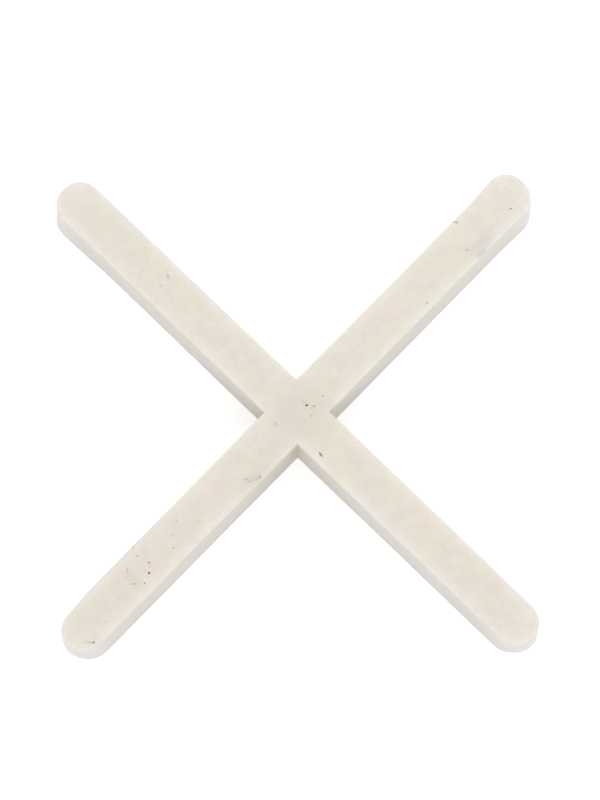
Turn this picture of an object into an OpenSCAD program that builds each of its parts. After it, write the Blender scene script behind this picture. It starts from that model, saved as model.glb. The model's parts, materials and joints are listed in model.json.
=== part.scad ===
// Cross-shaped tile spacer, moulded in one piece.
// Four equal arms lie along X and Y, and every arm ends in a full round.
// The base lies on Z = 0 with its centre at the origin, and the depth runs up Z.
// The arms are widest at the base and draw in slightly towards the top face.

/* [Joint] */
// Width of an arm at its base, which is the tile joint that it sets
joint_w = 3.0; // [2:0.1:6]
// Distance from tip to tip of two opposite arms, at the base
span = 41.4; // [30:0.1:60]
// Depth of the spacer, from the base to the top face
depth = 5.0; // [3:0.1:8]

/* [Moulding] */
// Draft on every side wall, in degrees
draft_angle = 0.5; // [0.1:0.1:2]
// Radius of the worn, rounded arris round the top face
top_arris_r = 0.2; // [0.1:0.01:0.4]
// Radius of the nearly sharp arris round the base
base_arris_r = 0.06; // [0.02:0.01:0.3]

/* [Hidden] */
$fn = 64;
half_w = joint_w / 2;
end_x = span / 2 - half_w; // centre of the round that ends an arm
seam = 0.0002; // how far the drafted wall runs inside the arris rounds, so that they meet in clean edges
draft_sin = sin(draft_angle);
draft_cos = cos(draft_angle);

// Half width of an arm at height z, measured to the drafted wall
function wall_x(z) = half_w - z * tan(draft_angle);

// Centre of the arris round of radius r at height z, set so that it touches the drafted wall
function arris_x(z, r) = wall_x(z) - r / draft_cos;

// Point where that round runs into the wall
function wall_touch(z, r) = [arris_x(z, r), z] + (r - seam) * [draft_cos, draft_sin];

// Right half of an arm's section: X is across the arm, Y is up
module half_section() {
    low_z = base_arris_r;
    high_z = depth - top_arris_r;
    polygon([
        [0, 0],
        [arris_x(low_z, base_arris_r), 0],
        [arris_x(low_z, base_arris_r), low_z],
        wall_touch(low_z, base_arris_r),
        wall_touch(high_z, top_arris_r),
        [arris_x(high_z, top_arris_r), high_z],
        [arris_x(high_z, top_arris_r), depth],
        [0, depth]
    ]);
    translate([arris_x(low_z, base_arris_r), low_z]) circle(r = base_arris_r);
    translate([arris_x(high_z, top_arris_r), high_z]) circle(r = top_arris_r);
}

// Two opposite arms as one straight bar along X, without their round ends
module straight_bar() {
    rotate([90, 0, 90])
        linear_extrude(height = 2 * end_x, center = true) {
            half_section();
            mirror([1, 0]) half_section();
        }
}

// Full round on the end of the arm that points along +X
module round_end() {
    translate([end_x, 0, 0])
        rotate([0, 0, -90])
            rotate_extrude(angle = 180) half_section();
}

// The whole spacer: two crossed bars with a round on each of their four ends
module cross_spacer() {
    color([0.90, 0.87, 0.81]) {
        for (turn = [0, 90]) rotate([0, 0, turn]) straight_bar();
        for (turn = [0:90:270]) rotate([0, 0, turn]) round_end();
    }
}

cross_spacer();
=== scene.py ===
import json
import math
import bmesh
import bpy
import mathutils
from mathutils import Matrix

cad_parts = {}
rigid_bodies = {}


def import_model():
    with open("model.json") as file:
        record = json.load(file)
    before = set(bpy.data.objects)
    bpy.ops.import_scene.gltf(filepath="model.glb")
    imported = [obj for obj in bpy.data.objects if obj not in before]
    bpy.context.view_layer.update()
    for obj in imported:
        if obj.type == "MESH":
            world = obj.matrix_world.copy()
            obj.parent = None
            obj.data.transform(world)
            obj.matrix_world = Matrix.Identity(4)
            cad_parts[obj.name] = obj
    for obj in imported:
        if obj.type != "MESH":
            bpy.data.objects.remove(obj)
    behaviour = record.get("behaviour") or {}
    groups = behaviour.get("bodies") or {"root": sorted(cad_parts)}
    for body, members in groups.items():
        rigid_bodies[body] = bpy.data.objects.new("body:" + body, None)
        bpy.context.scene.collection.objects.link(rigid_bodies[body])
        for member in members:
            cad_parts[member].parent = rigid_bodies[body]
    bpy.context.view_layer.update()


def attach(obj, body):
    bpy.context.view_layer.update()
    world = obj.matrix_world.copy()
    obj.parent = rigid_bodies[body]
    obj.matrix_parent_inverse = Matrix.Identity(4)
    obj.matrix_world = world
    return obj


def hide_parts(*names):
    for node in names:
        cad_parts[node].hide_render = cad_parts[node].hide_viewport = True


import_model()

mm = 0.001     # Blender's unit is the metre
tiny = 1e-6    # metres, points nearer than this are one

print("Camera")
viewPoint = {
    "place": (48.124, -45.505, 394.482),  # mm, almost straight above the crossing
    "turn": (9.7502, 0.3745, 44.2244),    # degrees
    "lens": 281.88,                       # mm, on a 36 mm sensor along the picture's long side
}
bpy.ops.object.select_all(action="DESELECT")
bpy.ops.object.camera_add(
    location=[v * mm for v in viewPoint["place"]],
    rotation=[math.radians(v) for v in viewPoint["turn"]],
)
camera = bpy.context.object
camera.name = "studioCamera"
camera.data.lens = viewPoint["lens"]
camera.data.clip_start = 0.01
camera.data.clip_end = 10
bpy.context.scene.camera = camera

spacerSizes = {
    "jointWidth": 3.0,    # mm, an arm at its base
    "span": 41.39,        # mm, tip to tip, a hair inside the frame
    "depth": 5.0,         # mm, base to top face
    "draft": 0.5,         # degrees on every side wall
    "topArris": 0.2,      # mm, radius
    "baseArris": 0.06,    # mm, radius
    "topArrisSteps": 8,   # round the arris
    "baseArrisSteps": 4,
    "slices": 120,        # along an arm
    "topStrips": 24,      # across the top face
    "baseStrips": 8,
    "wallRows": 12,
    "roundSteps": 32,     # in the half turn of a tip
    "sink": 0.018,        # mm, how far the middle of the top face has drawn down
    "sinkReach": 1.15,    # mm, from the middle line towards the arris
    "tipGrip": 0.25,      # mm, how near to its point an uneven tip is taken hold of
    "sliver": 0.002,      # mm, what the cuts leave that is narrower is merged
    "crispFrom": 35,      # degrees, an edge that turns more isn't shaded smooth
}
halfWidth = spacerSizes["jointWidth"] / 2 * mm
endX = spacerSizes["span"] / 2 * mm - halfWidth
depth = spacerSizes["depth"] * mm
draft = math.radians(spacerSizes["draft"])
topHalf = halfWidth - depth * math.tan(draft)


def pick(kind, test):
    # In edit mode, selects the verts, edges or faces that pass the test and nothing else
    bpy.ops.mesh.select_mode(type=kind)
    bpy.ops.mesh.select_all(action="DESELECT")
    shape = bmesh.from_edit_mesh(bpy.context.object.data)
    for item in {"VERT": shape.verts, "EDGE": shape.edges, "FACE": shape.faces}[kind]:
        if test(item):
            item.select_set(True)
    shape.select_flush_mode()
    bmesh.update_edit_mesh(bpy.context.object.data)


def middle(edge):
    return (edge.verts[0].co + edge.verts[1].co) / 2


def reach(edge):
    return edge.verts[1].co - edge.verts[0].co


print("Spacer body: one arm")
bpy.ops.object.select_all(action="DESELECT")
bpy.ops.mesh.primitive_cube_add(
    size=1, location=(endX / 2, 0, depth / 2), scale=(endX, 2 * halfWidth, depth)
)
body = bpy.context.object
body.name = body.data.name = "spacerBody"
bpy.ops.object.transform_apply(location=True, rotation=True, scale=True)
bpy.ops.object.mode_set(mode="EDIT")

# The side walls draw in towards the top face
pick("VERT", lambda v: v.co.z > depth - tiny)
bpy.ops.transform.resize(value=(1, topHalf / halfWidth, 1), center_override=(0, 0, depth))

# Both ends are opened, and the long edges get their arris rounds
pick("FACE", lambda f: abs(f.normal.x) > 0.9)
bpy.ops.mesh.delete(type="ONLY_FACE")
for level, radius, turn, steps in (
    (depth, spacerSizes["topArris"], math.pi / 2 - draft, spacerSizes["topArrisSteps"]),
    (0, spacerSizes["baseArris"], math.pi / 2 + draft, spacerSizes["baseArrisSteps"]),
):
    pick("EDGE", lambda e: abs(reach(e).x) > endX / 2 and abs(middle(e).z - level) < tiny)
    bpy.ops.mesh.bevel(
        offset=radius * mm * math.tan(turn / 2), segments=steps, profile=0.5,
        affect="EDGES", clamp_overlap=False,
    )

# Slices along the arm, strips across the top and the base, and rows up the walls
pick("EDGE", lambda e: abs(reach(e).x) > endX / 2)
bpy.ops.mesh.subdivide(number_cuts=spacerSizes["slices"] - 1)
for level, strips in ((depth, spacerSizes["topStrips"]), (0, spacerSizes["baseStrips"])):
    pick("EDGE", lambda e: abs(reach(e).y) > halfWidth and abs(middle(e).z - level) < tiny)
    bpy.ops.mesh.subdivide(number_cuts=strips - 1)
pick("EDGE", lambda e: abs(reach(e).z) > depth / 2)
bpy.ops.mesh.subdivide(number_cuts=spacerSizes["wallRows"] - 1)

# Half of the end section is spun into the full round of the tip
pick("EDGE", lambda e: middle(e).x > endX - tiny and abs(reach(e).x) < tiny and middle(e).y < 0)
bpy.ops.mesh.spin(
    steps=spacerSizes["roundSteps"], angle=-math.pi, center=(endX, 0, 0), axis=(0, 0, 1)
)
bpy.ops.mesh.select_mode(type="VERT")
bpy.ops.mesh.select_all(action="SELECT")
bpy.ops.mesh.remove_doubles(threshold=tiny)

print("Spacer body: four arms, mitred at the crossing")
for side in (-1, 1):
    bpy.ops.mesh.select_all(action="SELECT")
    bpy.ops.mesh.bisect(
        plane_co=(0, 0, 0), plane_no=(1, side, 0), clear_inner=True, clear_outer=False,
        threshold=tiny / 10,
    )
for turn in (math.pi / 2, math.pi):
    bpy.ops.mesh.select_all(action="SELECT")
    bpy.ops.mesh.duplicate()
    bpy.ops.transform.rotate(value=turn, orient_axis="Z", center_override=(0, 0, 0))
bpy.ops.mesh.select_all(action="SELECT")
bpy.ops.mesh.remove_doubles(threshold=tiny)
bpy.ops.mesh.normals_make_consistent(inside=False)

print("Spacer body: sink of the top face")
pick("VERT", lambda v: v.co.z > depth - tiny and min(abs(v.co.x), abs(v.co.y)) < tiny
     and max(abs(v.co.x), abs(v.co.y)) < endX + tiny)
bpy.ops.transform.translate(
    value=(0, 0, -spacerSizes["sink"] * mm),
    use_proportional_edit=True,
    proportional_edit_falloff="SMOOTH",
    proportional_size=spacerSizes["sinkReach"] * mm,
)

print("Spacer body: uneven tips")
unevenTips = {
    # All in mm: the point, its move, the height up to which it takes hold, and how far it reaches
    "eastBase": {"point": (20.25, -1.06, 0), "move": (-0.13, 0.13, 0), "height": 0.1, "reach": 1.7},
    "southBase": {"point": (1.05, -20.26, 0), "move": (-0.12, 0.12, 0), "height": 0.1, "reach": 1.5},
    "westBase": {"point": (-19.60, -1.44, 0), "move": (0, -0.11, 0), "height": 0.1, "reach": 4.8},
    "southSide": {"point": (-1.37, -19.75, 0), "move": (0.14, 0.02, 0), "height": 5.1, "reach": 2.9},
    "northLeft": {"point": (-1.12, 20.08, 0), "move": (-0.14, 0, 0), "height": 5.1, "reach": 3.0},
    "northRight": {"point": (1.12, 20.05, 0), "move": (0.07, 0, 0), "height": 5.1, "reach": 2.8},
    "southEnd": {"point": (0.05, -20.69, 0), "move": (-0.04, 0.08, 0), "height": 2.6, "reach": 1.1},
    "southCorner": {"point": (-0.75, -20.49, 0), "move": (-0.04, -0.05, 0), "height": 5.1, "reach": 0.9},
    "eastEnd": {"point": (20.60, -0.22, 0), "move": (-0.07, 0.08, 0), "height": 0.1, "reach": 1.3},
    "westCorner": {"point": (-20.256, -1.061, 0), "move": (-0.035, -0.05, 0), "height": 5.1, "reach": 0.9},
    "westFoot": {"point": (-20.28, -1.10, 0), "move": (-0.04, -0.055, 0), "height": 0.9, "reach": 0.9},
}
for uneven in unevenTips.values():
    point = mathutils.Vector(uneven["point"]) * mm
    pick("VERT", lambda v: (v.co - point).xy.length < spacerSizes["tipGrip"] * mm
         and v.co.z < uneven["height"] * mm)
    bpy.ops.transform.translate(
        value=[v * mm for v in uneven["move"]],
        use_proportional_edit=True,
        proportional_edit_falloff="SMOOTH",
        proportional_size=uneven["reach"] * mm,
    )
bpy.ops.object.mode_set(mode="OBJECT")

print("Spacer body: chips and the dent")
damage = {
    # Middle and half sizes in mm, and the turn about Z in degrees
    "nearChip": {"place": (1.56, 15.44, 5.13), "size": (0.56, 0.46, 0.36), "turn": -8},
    "farChip": {"place": (-1.33, 15.73, 5.03), "size": (0.20, 0.085, 0.13), "turn": 31},
    "pinchedDent": {"place": (2.98, -0.905, 5.01), "size": (0.17, 0.07, 0.09), "turn": -6},
}
for name, cut in damage.items():
    bpy.ops.object.select_all(action="DESELECT")
    bpy.ops.mesh.primitive_ico_sphere_add(
        subdivisions=4, radius=mm, location=[v * mm for v in cut["place"]],
        rotation=(0, 0, math.radians(cut["turn"])), scale=cut["size"],
    )
    cutter = bpy.context.object
    cutter.name = name
    bpy.ops.object.select_all(action="DESELECT")
    body.select_set(True)
    bpy.context.view_layer.objects.active = body
    chipping = body.modifiers.new(name, "BOOLEAN")
    chipping.operation = "DIFFERENCE"
    chipping.solver = "EXACT"
    chipping.object = cutter
    bpy.ops.object.modifier_apply(modifier=name)
    bpy.data.objects.remove(cutter)
bpy.ops.object.mode_set(mode="EDIT")
bpy.ops.mesh.select_mode(type="VERT")
bpy.ops.mesh.select_all(action="SELECT")
bpy.ops.mesh.remove_doubles(threshold=spacerSizes["sliver"] * mm)
bpy.ops.object.mode_set(mode="OBJECT")
bpy.ops.object.shade_smooth_by_angle(angle=math.radians(spacerSizes["crispFrom"]))
print("Spacer body:", len(body.data.vertices), "vertices,", len(body.data.polygons), "faces")

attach(body, "root")
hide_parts("cross_spacer")

print("Moulded plastic")
plasticLook = {
    "heart": (0.777, 0.727, 0.648, 1),   # along the middle of an arm
    # painted light: the top face lighter towards the tips, where light comes through the plastic
    "tipTopGlow": (0.792, 0.757, 0.684, 1),
    "rimGlow": (0.789, 0.758, 0.692, 1),     # painted light: lighter towards the arrises, where light comes through
    # painted highlight along the arrises, lighter than the top face and the walls
    "arris": (0.810, 0.785, 0.726, 1),
    # painted shade: the side walls darker than the top face
    "wall": (0.715, 0.670, 0.620, 1),
    # painted light: the walls lighter round the tips
    "tipWallLight": (0.770, 0.734, 0.686, 1),
    "cornerShade": (0.690, 0.640, 0.505, 1),  # painted shade in the four inner corners
    "rosy": (0.815, 0.712, 0.645, 1),    # faint uneven colour in the moulding
    "green": (0.755, 0.745, 0.625, 1),
    # Each band runs from where its tone starts to where it is full
    "rimBand": (0.5, 1.4),               # mm from the middle line of an arm
    "arrisBand": (1.24, 1.42),           # the same
    "wallBand": (0.05, 0.22),            # mm below the top face
    "tipBand": (-2.0, 1.2),              # mm past the start of the round end
    "cornerBand": (2.7, 1.5),            # mm from the middle of the crossing
    "crossingBand": (1.5, 6.0),          # the same
    "rosyBand": (0.50, 0.72),            # of the clouds
    "greenBand": (0.50, 0.28),
    "tipShare": 0.8,
    "cornerShare": 0.62,
    "rimShare": (0.4, 1.0),              # at the crossing, and away from it
    "tintShare": (0.6, 0.3),             # on the top face, and on the walls
    "rosyShare": (1.0, 0.25),            # of that, along the arms and at their tips
    "cloudSize": 900,                    # patches to the metre
    "patchSize": 1700,
    "grainSize": 9000,
    "armShade": (0.978, 1.012),          # from the -Y tip to the +Y tip
    "patchShade": (0.968, 1.032),        # darkest and lightest
    "grainShade": (0.940, 1.050),
    "roughness": (0.52, 0.66),           # least and most, in the patches
    "patchBump": 0.01,                   # mm
    "grainBump": 0.006,                  # mm
    "lightInside": 0.5,                  # share of the light that goes into the plastic
    "lightReach": (1.0, 0.85, 0.7),      # mm, how far its red, green and blue travel there
    "refraction": 1.5,
}
plastic = bpy.data.materials.new("mouldedPlastic")
plastic.use_nodes = True
tree = plastic.node_tree
shader = tree.nodes["Principled BSDF"]
shader.inputs["IOR"].default_value = plasticLook["refraction"]
shader.inputs["Subsurface Weight"].default_value = plasticLook["lightInside"]
shader.inputs["Subsurface Radius"].default_value = plasticLook["lightReach"]
shader.inputs["Subsurface Scale"].default_value = mm
body.data.materials.append(plastic)


def addNode(tree, kind, values=None, **settings):
    # Adds a node, with its settings, and with each socket linked or given its value
    node = tree.nodes.new("ShaderNode" + kind)
    for name, value in settings.items():
        setattr(node, name, value)
    for socket, value in (values or {}).items():
        if isinstance(value, bpy.types.NodeSocket):
            tree.links.new(value, node.inputs[socket])
        else:
            node.inputs[socket].default_value = value
    return node


def work(tree, operation, *values):
    return addNode(tree, "Math", dict(enumerate(values)), operation=operation).outputs[0]


def blendColours(tree, share, first, second):
    # The Mix node's colour sockets go by number, because their names repeat
    return addNode(tree, "Mix", {0: share, 6: first, 7: second}, data_type="RGBA").outputs[2]


def ramp(tree, value, start, full):
    # Rises softly from 0 at start to 1 at full, whichever of the two is higher
    return addNode(tree, "MapRange", {"Value": value, "From Min": start, "From Max": full},
                   interpolation_type="SMOOTHSTEP").outputs["Result"]


def spread(tree, value, before, after):
    # Carries one range of values over to another, and stops at its ends
    return addNode(tree, "MapRange", {"Value": value, "From Min": before[0], "From Max": before[1],
                                      "To Min": after[0], "To Max": after[1]}).outputs["Result"]


def inMetres(band):
    return [v * mm for v in band]


where = addNode(tree, "TexCoord").outputs["Object"]

# Distance from the middle line of the nearest arm, which also runs round the tips
axes = addNode(tree, "SeparateXYZ", {0: where}).outputs
overX = work(tree, "ABSOLUTE", axes["X"])
overY = work(tree, "ABSOLUTE", axes["Y"])
alongArm = work(tree, "MAXIMUM", overX, overY)
pastTip = work(tree, "MAXIMUM", work(tree, "SUBTRACT", alongArm, endX), 0.0)
across = addNode(tree, "CombineXYZ", {"X": pastTip, "Y": work(tree, "MINIMUM", overX, overY)}).outputs[0]
fromMiddle = addNode(tree, "VectorMath", {0: across}, operation="LENGTH").outputs["Value"]

# Where each tone lies
onRim = ramp(tree, fromMiddle, *inMetres(plasticLook["rimBand"]))
onArris = ramp(tree, fromMiddle, *inMetres(plasticLook["arrisBand"]))
onWall = ramp(tree, axes["Z"], *[depth - v for v in inMetres(plasticLook["wallBand"])])
onTip = ramp(tree, alongArm, *[endX + v for v in inMetres(plasticLook["tipBand"])])
nearCrossing = ramp(tree, alongArm, *inMetres(plasticLook["cornerBand"]))
inCorner = work(tree, "MULTIPLY", nearCrossing, work(tree, "MULTIPLY", onWall, onArris))
rimLimit = spread(tree, alongArm, inMetres(plasticLook["crossingBand"]), plasticLook["rimShare"])

clouds = addNode(tree, "TexNoise", {"Vector": where, "Scale": plasticLook["cloudSize"], "Detail": 4.0})
patches = addNode(tree, "TexNoise", {"Vector": where, "Scale": plasticLook["patchSize"], "Detail": 3.5})
grain = addNode(tree, "TexNoise", {"Vector": where, "Scale": plasticLook["grainSize"], "Detail": 3.0,
                                   "Roughness": 0.6})
# Painted light: the top face lighter towards the tips
tipTone = work(tree, "MULTIPLY", onTip, plasticLook["tipShare"])
colour = blendColours(tree, tipTone, plasticLook["heart"], plasticLook["tipTopGlow"])
# Painted light: lighter towards the arrises, less so near the crossing
colour = blendColours(tree, work(tree, "MULTIPLY", onRim, rimLimit), colour, plasticLook["rimGlow"])
# Painted highlight along the arrises
colour = blendColours(tree, onArris, colour, plasticLook["arris"])
# Painted shade on the walls, with painted light round the tips
paintedWallShade = blendColours(tree, onTip, plasticLook["wall"], plasticLook["tipWallLight"])
colour = blendColours(tree, work(tree, "MULTIPLY", onWall, onRim), colour, paintedWallShade)
# Painted shade in the four inner corners, darker and warmer where the walls meet
paintedCornerShade = work(tree, "MULTIPLY", inCorner, plasticLook["cornerShare"])
colour = blendColours(tree, paintedCornerShade, colour, plasticLook["cornerShade"])

# Two faint tints come and go with the clouds
tintLimit = spread(tree, onWall, (0.0, 1.0), plasticLook["tintShare"])
rosyLimit = work(tree, "MULTIPLY", tintLimit, spread(tree, onTip, (0.0, 1.0), plasticLook["rosyShare"]))
rosyCloud = ramp(tree, clouds.outputs["Fac"], *plasticLook["rosyBand"])
greenCloud = ramp(tree, clouds.outputs["Fac"], *plasticLook["greenBand"])
colour = blendColours(tree, work(tree, "MULTIPLY", rosyCloud, rosyLimit), colour, plasticLook["rosy"])
colour = blendColours(tree, work(tree, "MULTIPLY", greenCloud, tintLimit), colour, plasticLook["green"])

# Light and dark: darker towards the -Y tip, patches, and the fine grain
armShade = spread(tree, axes["Y"], inMetres((-20, 20)), plasticLook["armShade"])
patchShade = spread(tree, patches.outputs["Fac"], (0.3, 0.7), plasticLook["patchShade"])
grainShade = spread(tree, grain.outputs["Fac"], (0.25, 0.75), plasticLook["grainShade"])
shade = work(tree, "MULTIPLY", armShade, work(tree, "MULTIPLY", patchShade, grainShade))
colour = addNode(tree, "HueSaturation", {"Color": colour, "Value": shade}).outputs[0]

# Specks and smears, with painted shade at the crossing, in the chips, on a wall and in the pinched dent
print("Specks and smears")
markLook = {
    "edge": (1.45, 0.45),     # where a mark starts and is full, in half sizes from its middle
    "deep": 0.3,              # mm, half its size downwards
    "ragged": 0.06,           # mm, how far ripples shift its outline
    "rippleSize": 14000,      # ripples to the metre
    "dull": 0.2,              # added to the roughness
}
# Each spot: x, y, half length, half width (mm), turn (degrees), strength. They lie on the top face
# where no height is given
marks = {
    # Partly painted shade at the crossing and along the -Y arm near it, partly the haze round the grey
    # smear
    "shadeAndHazePatch": {
        "colour": (0.695, 0.648, 0.568, 1),
        "spots": [(1.05, -4.70, 1.700, 0.500, 90, 0.45), (0.30, 0.30, 1.900, 1.900, 0, 0.45),
                  (0.60, -2.60, 1.300, 0.800, 90, 0.30), (1.13, -4.85, 0.750, 0.380, 90, 0.85),
                  (0.95, 15.10, 0.600, 0.400, 90, 0.25)],
    },
    "palePatch": {
        "colour": (0.700, 0.672, 0.606, 1),
        "spots": [(0.95, 15.90, 0.950, 0.500, 90, 0.80), (0.80, 16.60, 0.500, 0.400, 90, 0.50)],
    },
    "oliveStain": {
        "colour": (0.690, 0.640, 0.500, 1),
        "spots": [(0.265, -14.79, 0.480, 0.330, 20, 0.42), (-0.30, -14.75, 0.330, 0.250, -40, 0.26)],
    },
    # Painted shade on the near chip, as dark as the side wall
    "chipShade": {
        "colour": (0.703, 0.665, 0.633, 1),
        "spots": [(1.36, 15.45, 0.430, 0.300, 90, 1.00), (1.10, 15.34, 0.180, 0.140, 60, 0.80)],
    },
    # Painted shade on the side wall of the -Y arm beside the crossing
    "crossingWallShade": {
        "height": 2.5,                   # mm above the base, half way up a side wall
        "deep": 2.2,
        "colour": (0.620, 0.565, 0.480, 1),
        "spots": [(1.47, -3.30, 1.900, 0.300, 90, 0.22)],
    },
    "wallSmudge": {
        "height": 2.5,
        "colour": (0.480, 0.450, 0.390, 1),
        "spots": [(-10.40, -1.48, 0.120, 0.060, 0, 0.25), (-7.28, -1.48, 0.120, 0.060, 0, 0.22),
                  (1.48, -14.56, 0.120, 0.060, 90, 0.25)],
    },
    "greySmear": {
        "colour": (0.395, 0.360, 0.285, 1),
        "spots": [
            (1.225, -4.61, 0.095, 0.088, 45, 0.88), (1.185, -4.84, 0.085, 0.055, 80, 0.50),
            (1.065, -5.04, 0.160, 0.060, 63, 0.36), (0.955, -5.29, 0.150, 0.062, 55, 0.44),
            (0.715, -5.31, 0.155, 0.100, 45, 0.42), (0.735, -5.09, 0.090, 0.060, -45, 0.26),
        ],
    },
    # Painted shade in the far chip
    "farChipShade": {
        "colour": (0.350, 0.345, 0.385, 1),
        "spots": [
            (-1.235, 15.78, 0.085, 0.062, 20, 0.68), (-1.360, 15.69, 0.110, 0.050, 31, 0.40),
            (-1.06, 15.84, 0.110, 0.045, 25, 0.28),
        ],
    },
    "yellowSmear": {
        "colour": (0.420, 0.375, 0.190, 1),
        "spots": [(0.90, -19.57, 0.130, 0.065, 40, 0.42), (0.76, -19.64, 0.100, 0.070, 50, 0.26),
                  (0.695, -19.86, 0.110, 0.060, 44, 0.14)],
    },
    "dust": {
        "colour": (0.340, 0.290, 0.190, 1),
        "spots": [
            (0.305, -14.98, 0.110, 0.058, 48, 0.58), (0.175, -15.20, 0.090, 0.060, 44, 0.22),
            (-0.43, -1.51, 0.120, 0.070, -31, 0.38), (0.47, 14.96, 0.130, 0.080, 44, 0.34),
            (-0.245, 0.80, 0.090, 0.060, 44, 0.28), (-0.02, 0.85, 0.070, 0.050, 0, 0.18),
            (-0.565, -14.65, 0.170, 0.065, -46, 0.34), (-0.55, -10.22, 0.090, 0.070, 0, 0.30),
            (-0.12, -11.07, 0.160, 0.080, 44, 0.20), (-8.33, -0.98, 0.090, 0.070, 0, 0.24),
            (-6.50, -0.22, 0.080, 0.070, 0, 0.15), (0.73, -17.84, 0.080, 0.070, 0, 0.20),
            (0.59, 12.58, 0.080, 0.070, 0, 0.18), (18.29, -0.96, 0.080, 0.070, 0, 0.16),
            (-0.55, 19.55, 0.100, 0.070, 44, 0.18), (0.635, 18.39, 0.090, 0.060, 0, 0.20),
            (0.555, 18.63, 0.110, 0.050, 45, 0.16), (11.93, -1.40, 0.080, 0.070, 0, 0.22),
            (0.215, -13.55, 0.070, 0.060, 0, 0.20), (0.205, -13.30, 0.055, 0.050, 0, 0.16),
            (0.615, -13.99, 0.070, 0.055, 0, 0.20), (0.185, -13.83, 0.055, 0.050, 0, 0.14),
            (0.05, -15.02, 0.060, 0.050, 0, 0.14), (-0.35, -15.05, 0.070, 0.050, -20, 0.12),
            (1.35, -20.15, 0.120, 0.060, 20, 0.15),
        ],
    },
    "blackSpeck": {
        "colour": (0.036, 0.028, 0.018, 1),
        "spots": [(0.150, 0.735, 0.072, 0.058, 50, 1.90)],
    },
    # Soot specks, and painted shade in the pinched dent (the last two spots)
    "sootAndDentShade": {
        "colour": (0.060, 0.028, 0.002, 1),
        "spots": [
            (0.505, -13.82, 0.068, 0.062, 0, 1.45),
            (0.025, -13.36, 0.066, 0.062, 0, 0.68), (1.085, -19.39, 0.098, 0.060, 62, 0.68),
            (0.625, 18.82, 0.090, 0.056, 45, 0.60), (0.755, -14.48, 0.052, 0.050, 0, 0.80),
            (1.03, 10.75, 0.070, 0.050, 44, 0.50), (0.525, 1.02, 0.088, 0.056, 45, 0.42),
            (0.535, 0.84, 0.080, 0.055, 45, 0.20), (0.835, 0.46, 0.085, 0.055, -45, 0.30),
            (0.465, 1.88, 0.080, 0.070, -45, 0.30), (0.50, -11.59, 0.095, 0.060, 44, 0.28),
            (-0.78, -13.53, 0.110, 0.060, 44, 0.28), (-11.91, 0.55, 0.150, 0.090, -23, 0.27),
            (-11.85, -0.23, 0.080, 0.065, 0, 0.24), (-1.34, -13.36, 0.080, 0.065, 0, 0.32),
            # painted shade in the pinched dent
            (2.930, -0.90, 0.115, 0.056, -6, 0.60), (3.090, -0.925, 0.100, 0.062, -6, 0.48),
        ],
    },
}


def makeSpotGroup():
    # One spot: its strength at the middle, falling to 0 at its soft edge
    group = bpy.data.node_groups.new("spotMask", "ShaderNodeTree")
    for name, kind in (("Where", "NodeSocketVector"), ("Place", "NodeSocketVector"),
                       ("Turn", "NodeSocketVector"), ("Size", "NodeSocketVector"),
                       ("Strength", "NodeSocketFloat")):
        group.interface.new_socket(name=name, in_out="INPUT", socket_type=kind)
    group.interface.new_socket(name="Mask", in_out="OUTPUT", socket_type="NodeSocketFloat")
    given = group.nodes.new("NodeGroupInput").outputs
    result = group.nodes.new("NodeGroupOutput")
    local = addNode(group, "Mapping", {"Vector": given["Where"], "Location": given["Place"],
                                       "Rotation": given["Turn"], "Scale": given["Size"]},
                    vector_type="TEXTURE")
    far = addNode(group, "VectorMath", {0: local.outputs[0]}, operation="LENGTH").outputs["Value"]
    inside = ramp(group, far, *markLook["edge"])
    group.links.new(work(group, "MULTIPLY", inside, given["Strength"]), result.inputs["Mask"])
    return group


spotGroup = makeSpotGroup()
ripples = addNode(tree, "TexNoise", {"Vector": where, "Scale": markLook["rippleSize"], "Detail": 1.0})
centred = addNode(tree, "VectorMath", {0: ripples.outputs["Color"], 1: (0.5, 0.5, 0.5)},
                  operation="SUBTRACT")
nudge = addNode(tree, "VectorMath", {0: centred.outputs[0], "Scale": markLook["ragged"] * mm},
                operation="SCALE")
ragged = addNode(tree, "VectorMath", {0: where, 1: nudge.outputs[0]}, operation="ADD").outputs[0]
allMarks = 0.0
for kind in marks.values():
    cover = 0.0
    height = kind.get("height", spacerSizes["depth"])
    deep = kind.get("deep", markLook["deep"])
    for x, y, halfLong, halfWide, turn, strength in kind["spots"]:
        spot = addNode(tree, "Group", node_tree=spotGroup)
        tree.links.new(ragged, spot.inputs["Where"])
        spot.inputs["Place"].default_value = inMetres((x, y, height))
        spot.inputs["Turn"].default_value = (0, 0, math.radians(turn))
        spot.inputs["Size"].default_value = inMetres((halfLong, halfWide, deep))
        spot.inputs["Strength"].default_value = strength
        cover = work(tree, "MAXIMUM", cover, spot.outputs["Mask"])
    colour = blendColours(tree, cover, colour, kind["colour"])
    allMarks = work(tree, "MAXIMUM", allMarks, cover)
tree.links.new(colour, shader.inputs["Base Color"])

# The patches break up the gloss, both they and the grain are felt in the surface, and the marks, dirt and
# painted shade alike, are duller
gloss = spread(tree, patches.outputs["Fac"], (0.3, 0.7), plasticLook["roughness"])
dirtAndShadeDullness = work(tree, "MULTIPLY", allMarks, markLook["dull"])
tree.links.new(work(tree, "ADD", gloss, dirtAndShadeDullness), shader.inputs["Roughness"])
coarse = addNode(tree, "Bump", {"Height": patches.outputs["Fac"], "Distance": plasticLook["patchBump"] * mm,
                                "Strength": 0.5})
fine = addNode(tree, "Bump", {"Height": grain.outputs["Fac"], "Distance": plasticLook["grainBump"] * mm,
                              "Strength": 0.6, "Normal": coarse.outputs[0]})
tree.links.new(fine.outputs[0], shader.inputs["Normal"])

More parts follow.
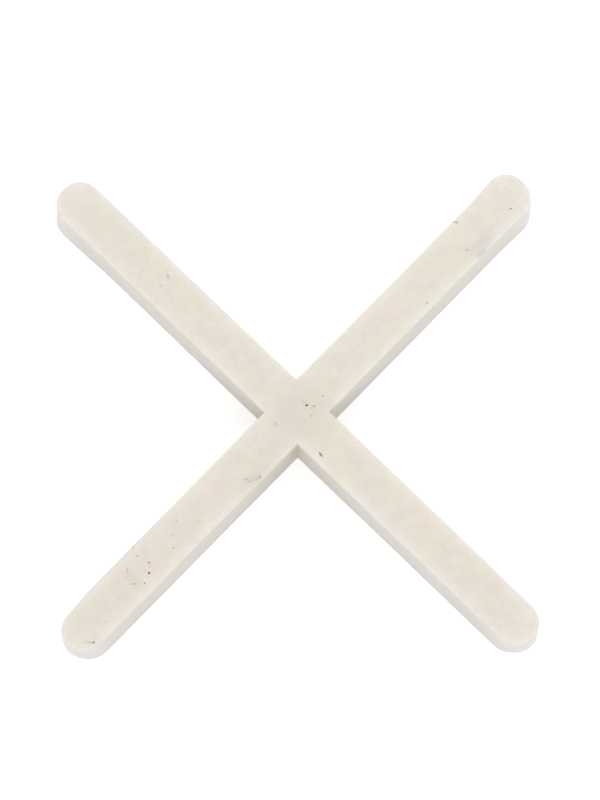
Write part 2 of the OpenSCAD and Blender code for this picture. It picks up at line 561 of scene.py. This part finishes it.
print("Floor, lamps and world")
studio = {
    "floorSize": 4,              # metres
    "floorDrop": 0.01,           # mm under the base
    "floorColour": (0.90, 0.905, 0.915, 1),
    "floorGlow": 0.42,           # lights nothing, and makes the lit floor white and the shadow faint
    "farGlow": 0.60,             # the same, well away from the spacer, where the lamps fade
    "glowBand": (0.03, 0.30),    # metres from the crossing, between the two
    "worldLevel": 0.62,
    "worldColour": (0.98, 0.99, 1.0, 1),
}
lamps = {
    # Place and size in metres, power in watts
    "keyLamp": {"place": (-0.25, 0.30, 0.55), "size": 0.5, "power": 1.12, "colour": (1.0, 0.965, 0.92)},
    "leftLamp": {"place": (-0.42, -0.43, 0.40), "size": 0.5, "power": 0.70, "colour": (1.0, 0.985, 0.97)},
    "rightLamp": {"place": (0.42, 0.43, 0.40), "size": 0.5, "power": 0.82, "colour": (1.0, 0.985, 0.97)},
    "nearLamp": {"place": (0.42, -0.43, 0.40), "size": 0.5, "power": 1.10, "colour": (0.98, 0.99, 1.0)},
}
bpy.ops.object.select_all(action="DESELECT")
bpy.ops.mesh.primitive_plane_add(size=studio["floorSize"], location=(0, 0, -studio["floorDrop"] * mm))
floor = bpy.context.object
floor.name = "studioFloor"
floorPaint = bpy.data.materials.new("floorPaint")
floorPaint.use_nodes = True
paint = floorPaint.node_tree
paint.nodes.clear()


def seenDirectly(tree):
    # 1 for the camera, and for what it sees in gloss or through the piece; 0 for light that falls on things
    path = addNode(tree, "LightPath").outputs
    return work(tree, "MAXIMUM", path["Is Camera Ray"],
                work(tree, "MAXIMUM", path["Is Glossy Ray"], path["Is Transmission Ray"]))


matte = addNode(paint, "BsdfDiffuse", {"Color": studio["floorColour"]})
onFloor = addNode(paint, "TexCoord").outputs["Object"]
away = addNode(paint, "VectorMath", {0: onFloor}, operation="LENGTH").outputs["Value"]
glowLevel = spread(paint, away, studio["glowBand"], (studio["floorGlow"], studio["farGlow"]))
glow = addNode(paint, "Emission", {"Strength": work(paint, "MULTIPLY", seenDirectly(paint), glowLevel)})
lit = addNode(paint, "AddShader", {0: matte.outputs[0], 1: glow.outputs[0]})
addNode(paint, "OutputMaterial", {"Surface": lit.outputs[0]})
floor.data.materials.append(floorPaint)

for name, lamp in lamps.items():
    bpy.ops.object.light_add(type="AREA", location=lamp["place"])
    light = bpy.context.object
    light.name = name
    light.data.size = lamp["size"]
    light.data.energy = lamp["power"]
    light.data.color = lamp["colour"]
    light.rotation_mode = "QUATERNION"
    light.rotation_quaternion = light.location.to_track_quat("Z", "Y")    # it shines on the crossing

world = bpy.data.worlds.new("studioWorld")
bpy.context.scene.world = world
world.use_nodes = True
sky = world.node_tree
sky.nodes.clear()
around = addNode(sky, "Background", {"Color": studio["worldColour"], "Strength": studio["worldLevel"]})
white = addNode(sky, "Background", {"Color": (1, 1, 1, 1), "Strength": 1.0})
choose = addNode(sky, "MixShader", {0: seenDirectly(sky), 1: around.outputs[0], 2: white.outputs[0]})
addNode(sky, "OutputWorld", {"Surface": choose.outputs[0]})

bpy.context.scene.view_settings.view_transform = "Standard"
